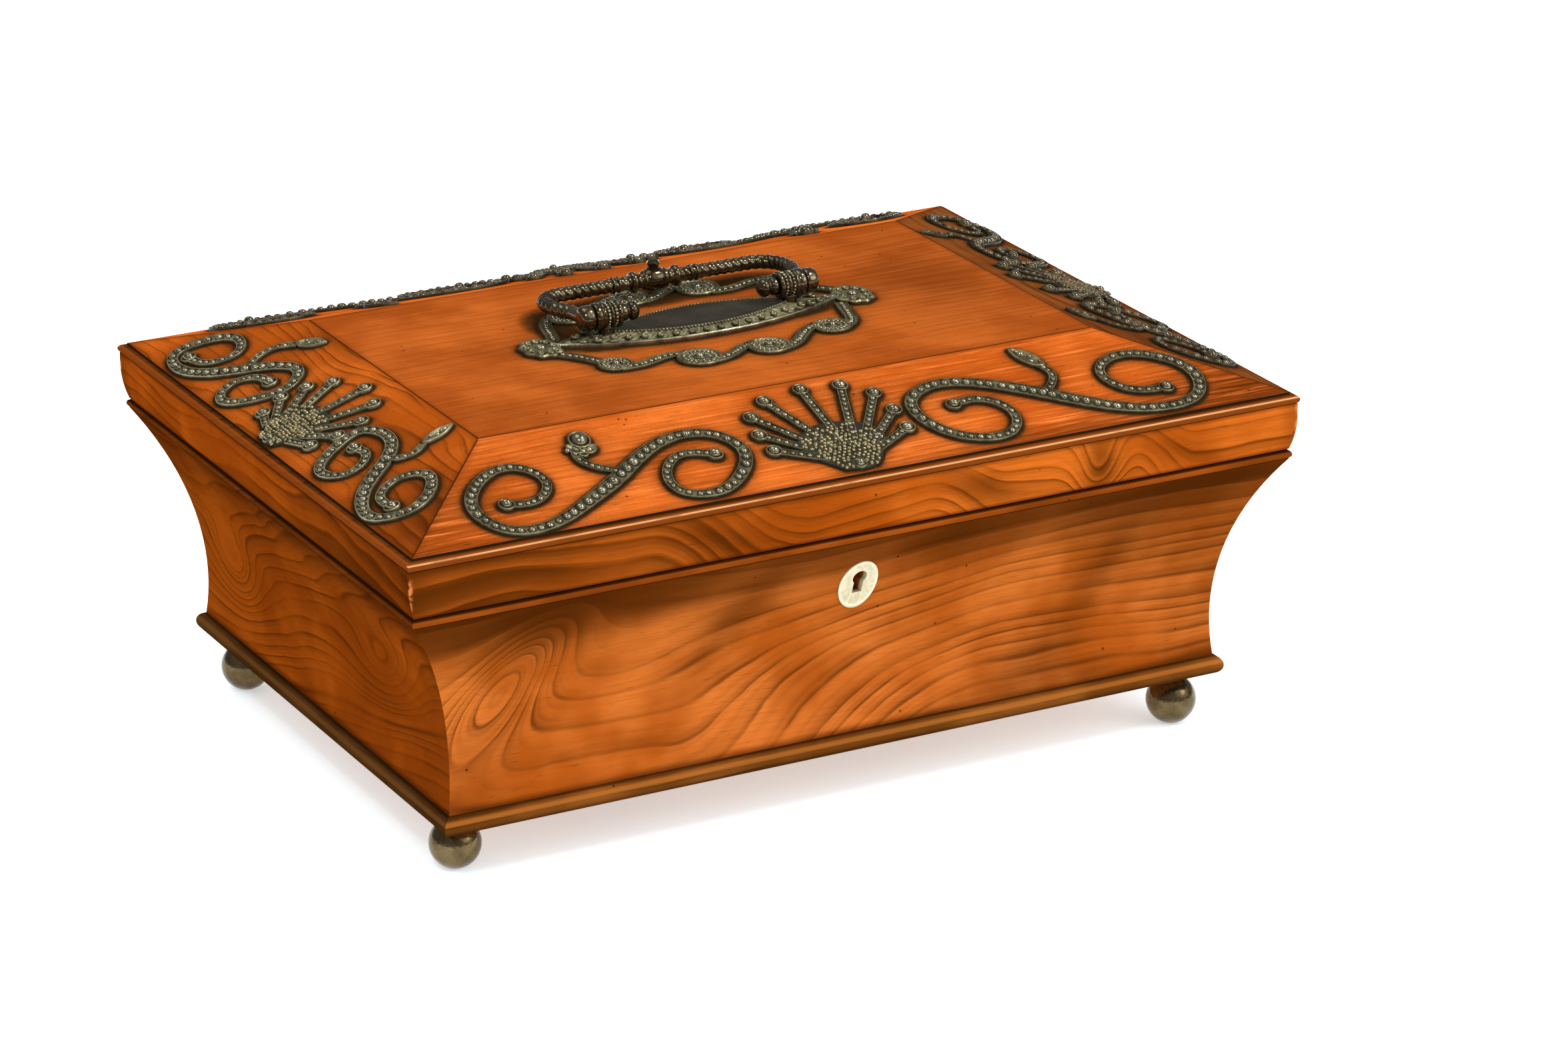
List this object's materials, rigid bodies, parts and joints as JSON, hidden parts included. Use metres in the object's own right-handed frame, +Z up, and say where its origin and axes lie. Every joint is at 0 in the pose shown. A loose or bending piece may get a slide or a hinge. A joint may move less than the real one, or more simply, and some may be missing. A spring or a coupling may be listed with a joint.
{
  "type": "work box",
  "caption": "Sarcophagus-shaped wooden sewing box with hollow-curved sides, hinged lid, lift-out tray, lock, ball feet, steel scroll mounts and a swinging handle.",
  "frame": {"origin": "centre of the box's outline, on the floor under the ball feet", "axes": "+X to the right along the long side, +Y from the front with the keyhole to the back with the hinges, +Z up"},
  "size_m": [0.3, 0.225, 0.1407],
  "materials": {
    "body_wood": "polished figured hardwood",
    "lid_wood": "polished figured hardwood",
    "moulding_wood": "dark polished hardwood",
    "plain_wood": "satin plain hardwood",
    "foot_brass": "patinated brass",
    "lining_cloth": "silk velvet",
    "shell_inlay": "polished shell",
    "hinge_brass": "worn brass",
    "lock_brass": "worn brass",
    "dark_steel": "plain steel",
    "mount_steel": "cut steel with bright studs",
    "handle_steel": "polished dark steel"
  },
  "bodies": {
    "box": {"base_moulding_back": "moulding_wood", "base_moulding_front": "moulding_wood", "base_moulding_left": "moulding_wood", "base_moulding_right": "moulding_wood", "body_back_panel": "body_wood", "body_edge_beads": "moulding_wood", "body_front_panel": "body_wood", "body_left_panel": "body_wood", "body_right_panel": "body_wood", "bottom_board": "plain_wood", "foot_back_left": "foot_brass", "foot_back_right": "foot_brass", "foot_front_left": "foot_brass", "foot_front_right": "foot_brass", "hinge_lower_leaves": "hinge_brass", "hinge_lower_screws": "dark_steel", "hinge_pins": "hinge_brass", "keyhole_escutcheon": "shell_inlay", "lock_case": "lock_brass", "lock_cover": "lock_brass", "lock_key_pin": "dark_steel", "lock_screws": "dark_steel", "lock_spring": "dark_steel", "tray_rest_strips": "plain_wood", "well_floor_lining": "lining_cloth"},
    "lid": {"handle_nuts": "handle_steel", "handle_pivot_screws": "handle_steel", "handle_plate": "mount_steel", "handle_posts": "handle_steel", "handle_ribbons": "mount_steel", "hinge_upper_leaves": "hinge_brass", "hinge_upper_screws": "dark_steel", "lid_back_rail": "lid_wood", "lid_back_slope": "lid_wood", "lid_centre_panel": "lid_wood", "lid_edge_beads": "moulding_wood", "lid_front_rail": "lid_wood", "lid_front_slope": "lid_wood", "lid_left_rail": "lid_wood", "lid_left_slope": "lid_wood", "lid_lining_board": "plain_wood", "lid_lining_pad": "lining_cloth", "lid_right_rail": "lid_wood", "lid_right_slope": "lid_wood", "link_plate_screws": "dark_steel", "lock_link_plate": "lock_brass", "scroll_mounts_back": "mount_steel", "scroll_mounts_front": "mount_steel", "scroll_mounts_left": "mount_steel", "scroll_mounts_right": "mount_steel", "shell_mount_back": "mount_steel", "shell_mount_front": "mount_steel", "shell_mount_left": "mount_steel", "shell_mount_right": "mount_steel"},
    "handle": {"handle_bail": "handle_steel"},
    "bolt": {"lock_bolt": "dark_steel"},
    "tray": {"tray_base": "plain_wood", "tray_sides": "plain_wood", "tray_dividers": "plain_wood", "pincushion": "lining_cloth"}
  },
  "joints": [
    {"name": "lid_hinge", "type": "hinge", "parent": "box", "child": "lid", "pos_m": [0, 0.1109, 0.095], "axis": [-1, 0, 0], "range_deg": [0, 98]},
    {"name": "handle_swing", "type": "hinge", "parent": "lid", "child": "handle", "pos_m": [0, 0, 0.136], "axis": [1, 0, 0], "range_deg": [0, 175]},
    {"name": "bolt_slide", "type": "slide", "parent": "box", "child": "bolt", "axis": [1, 0, 0], "range_m": [0, 0.0034]},
    {"name": "tray_lift", "type": "slide", "parent": "box", "child": "tray", "axis": [0, 0, 1], "range_m": [0, 0.012]}
  ]
}
